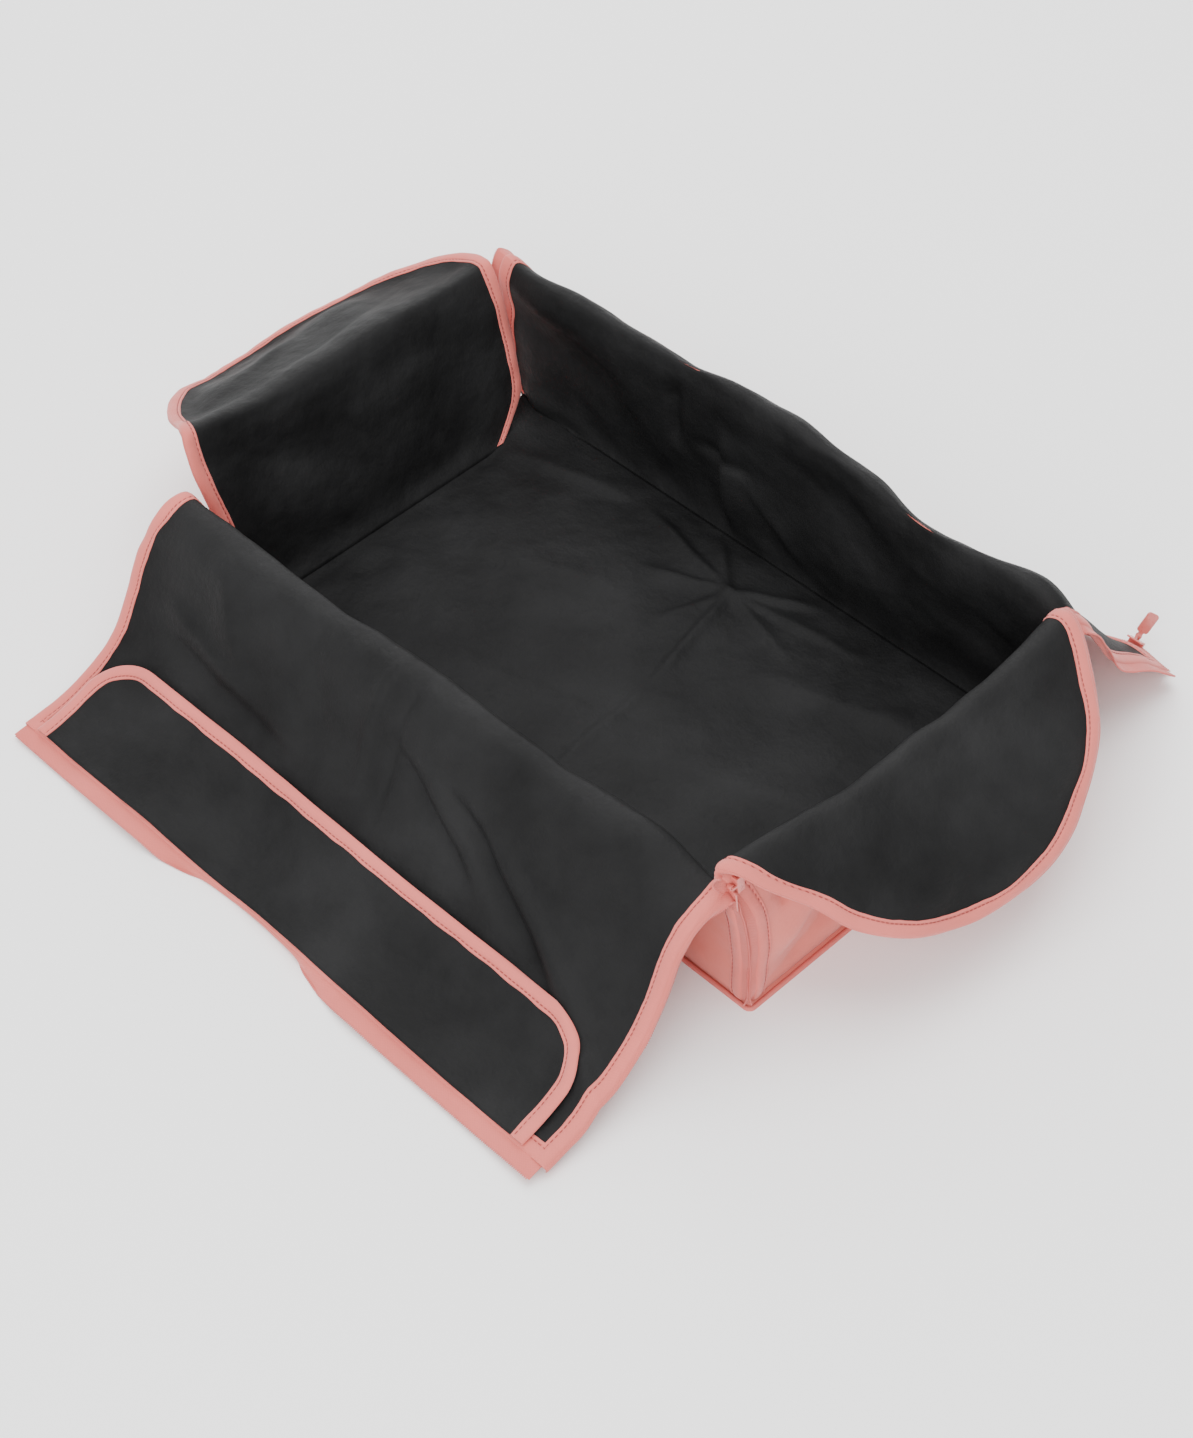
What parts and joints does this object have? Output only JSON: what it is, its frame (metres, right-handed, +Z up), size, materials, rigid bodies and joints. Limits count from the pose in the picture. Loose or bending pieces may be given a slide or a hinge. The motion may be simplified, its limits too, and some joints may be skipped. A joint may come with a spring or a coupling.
{
  "type": "laundry bag",
  "caption": "Soft open travel laundry bag with a rectangular base, fold-out flaps, arched end flaps, bound edges and zips, laid open.",
  "frame": {"origin": "centre of the base's underside", "axes": "+Z up; +X along the bag, from its left end to its right end; -Y towards its front"},
  "size_m": [0.7543, 0.6131, 0.1478],
  "materials": {
    "shell": "woven polyester, matt",
    "lining": "coated polyester, faint satin sheen",
    "binding": "grosgrain tape, matt",
    "zip_tape": "woven zip tape, matt",
    "zip_coil": "moulded nylon coil",
    "zip_metal": "enamelled, semi-gloss"
  },
  "bodies": {
    "bag": {"base_piping": "binding", "floor_lining": "lining", "floor_shell": "shell", "front_left_zip": "zip_tape", "front_right_zip": "zip_tape", "front_wall_binding": "binding", "front_wall_lining": "lining", "front_wall_shell": "shell", "rear_left_zip": "zip_tape", "rear_right_zip": "zip_tape", "rear_wall_binding": "binding", "rear_wall_lining": "lining", "rear_wall_shell": "shell", "right_end_wall_binding": "binding", "right_end_wall_lining": "lining", "right_end_wall_shell": "shell", "right_end_wall_zip": "zip_tape"},
    "front_flap": {"front_flap_edge_binding": "binding", "front_flap_edge_zip_coil": "zip_coil", "front_flap_edge_zip_tape": "zip_tape", "front_flap_lining": "lining", "front_flap_shell": "shell", "front_flap_side_binding": "binding", "front_flap_side_zip_coil": "zip_coil", "front_flap_side_zip_tape": "zip_tape"},
    "storm_flap": {"storm_flap_binding": "binding", "storm_flap_lining": "lining", "storm_flap_shell": "shell"},
    "rear_flap": {"rear_flap_edge_binding": "binding", "rear_flap_edge_zip_coil": "zip_coil", "rear_flap_edge_zip_tape": "zip_tape", "rear_flap_lining": "lining", "rear_flap_shell": "shell", "rear_flap_side_binding": "binding", "rear_flap_side_zip_coil": "zip_coil", "rear_flap_side_zip_tape": "zip_tape"},
    "left_end_wall": {"left_end_wall_binding": "binding", "left_end_wall_lining": "lining", "left_end_wall_shell": "shell", "left_end_wall_zip": "zip_tape"},
    "left_end_flap": {"left_end_flap_binding": "binding", "left_end_flap_lining": "lining", "left_end_flap_shell": "shell", "left_end_flap_zip_coil": "zip_coil", "left_end_flap_zip_tape": "zip_tape"},
    "right_end_flap": {"right_end_flap_binding": "binding", "right_end_flap_lining": "lining", "right_end_flap_shell": "shell", "right_end_flap_zip_coil": "zip_coil", "right_end_flap_zip_tape": "zip_tape"},
    "main_slider": {"main_slider": "zip_metal"},
    "main_pull": {"main_pull": "zip_metal"},
    "front_left_slider": {"front_left_slider": "zip_metal"},
    "front_left_pull": {"front_left_pull": "zip_metal"},
    "front_right_slider": {"front_right_slider": "zip_metal"},
    "front_right_pull": {"front_right_pull": "zip_metal"},
    "rear_left_slider": {"rear_left_slider": "zip_metal"},
    "rear_left_pull": {"rear_left_pull": "zip_metal"},
    "rear_right_slider": {"rear_right_slider": "zip_metal"},
    "rear_right_pull": {"rear_right_pull": "zip_metal"}
  },
  "joints": [
    {"name": "front_flap_fold", "type": "hinge", "parent": "bag", "child": "front_flap", "pos_m": [0, -0.1522, 0.125], "axis": [-1, 0, 0], "range_deg": [0, 172]},
    {"name": "rear_flap_fold", "type": "hinge", "parent": "bag", "child": "rear_flap", "pos_m": [0, 0.1522, 0.147], "axis": [1, 0, 0], "range_deg": [0, 189]},
    {"name": "storm_flap_fold", "type": "hinge", "parent": "front_flap", "child": "storm_flap", "pos_m": [0, -0.31364, 0.01476], "axis": [1, 0, 0], "range_deg": [0, 110]},
    {"name": "left_end_wall_fold", "type": "hinge", "parent": "bag", "child": "left_end_wall", "pos_m": [-0.2542, 0, 0.0024], "axis": [0, 1, 0], "range_deg": [0, 14.5]},
    {"name": "left_end_flap_fold", "type": "hinge", "parent": "left_end_wall", "child": "left_end_flap", "pos_m": [-0.30107, 0, 0.12475], "axis": [0, 1, 0], "range_deg": [0, 106]},
    {"name": "right_end_flap_fold", "type": "hinge", "parent": "bag", "child": "right_end_flap", "pos_m": [0.2442, 0, 0.125], "axis": [0, -1, 0], "range_deg": [0, 128]},
    {"name": "main_slider_slide", "type": "slide", "parent": "rear_flap", "child": "main_slider", "axis": [-1, 0, 0], "range_m": [0, 0.472]},
    {"name": "main_pull_swing", "type": "hinge", "parent": "main_slider", "child": "main_pull", "pos_m": [0.2264, 0.26708, 0.00978], "axis": [0, -0.7328, 0.6805], "range_deg": [-70, 100]},
    {"name": "front_left_slider_slide", "type": "slide", "parent": "bag", "child": "front_left_slider", "axis": [-0.0804, 0, 0.9968], "range_m": [0, 0.085]},
    {"name": "front_left_pull_swing", "type": "hinge", "parent": "front_left_slider", "child": "front_left_pull", "pos_m": [-0.25192, -0.1546, 0.0114], "axis": [-0.9968, 0, -0.0804], "range_deg": [0, 60]},
    {"name": "front_right_slider_slide", "type": "slide", "parent": "bag", "child": "front_right_slider", "axis": [0.0804, 0, -0.9968], "range_m": [0, 0.092]},
    {"name": "front_right_pull_swing", "type": "hinge", "parent": "front_right_slider", "child": "front_right_pull", "pos_m": [0.24173, -0.1546, 0.115], "axis": [-0.9968, 0, -0.0804], "range_deg": [0, 35]},
    {"name": "rear_left_slider_slide", "type": "slide", "parent": "bag", "child": "rear_left_slider", "axis": [-0.0804, 0, 0.9968], "range_m": [0, 0.1034]},
    {"name": "rear_left_pull_swing", "type": "hinge", "parent": "rear_left_slider", "child": "rear_left_pull", "pos_m": [-0.25192, 0.1546, 0.0114], "axis": [0.9968, 0, 0.0804], "range_deg": [0, 60]},
    {"name": "rear_right_slider_slide", "type": "slide", "parent": "bag", "child": "rear_right_slider", "axis": [0.0804, 0, -0.9968], "range_m": [0, 0.092]},
    {"name": "rear_right_pull_swing", "type": "hinge", "parent": "rear_right_slider", "child": "rear_right_pull", "pos_m": [0.24173, 0.1546, 0.115], "axis": [0.9968, 0, 0.0804], "range_deg": [0, 35]}
  ]
}
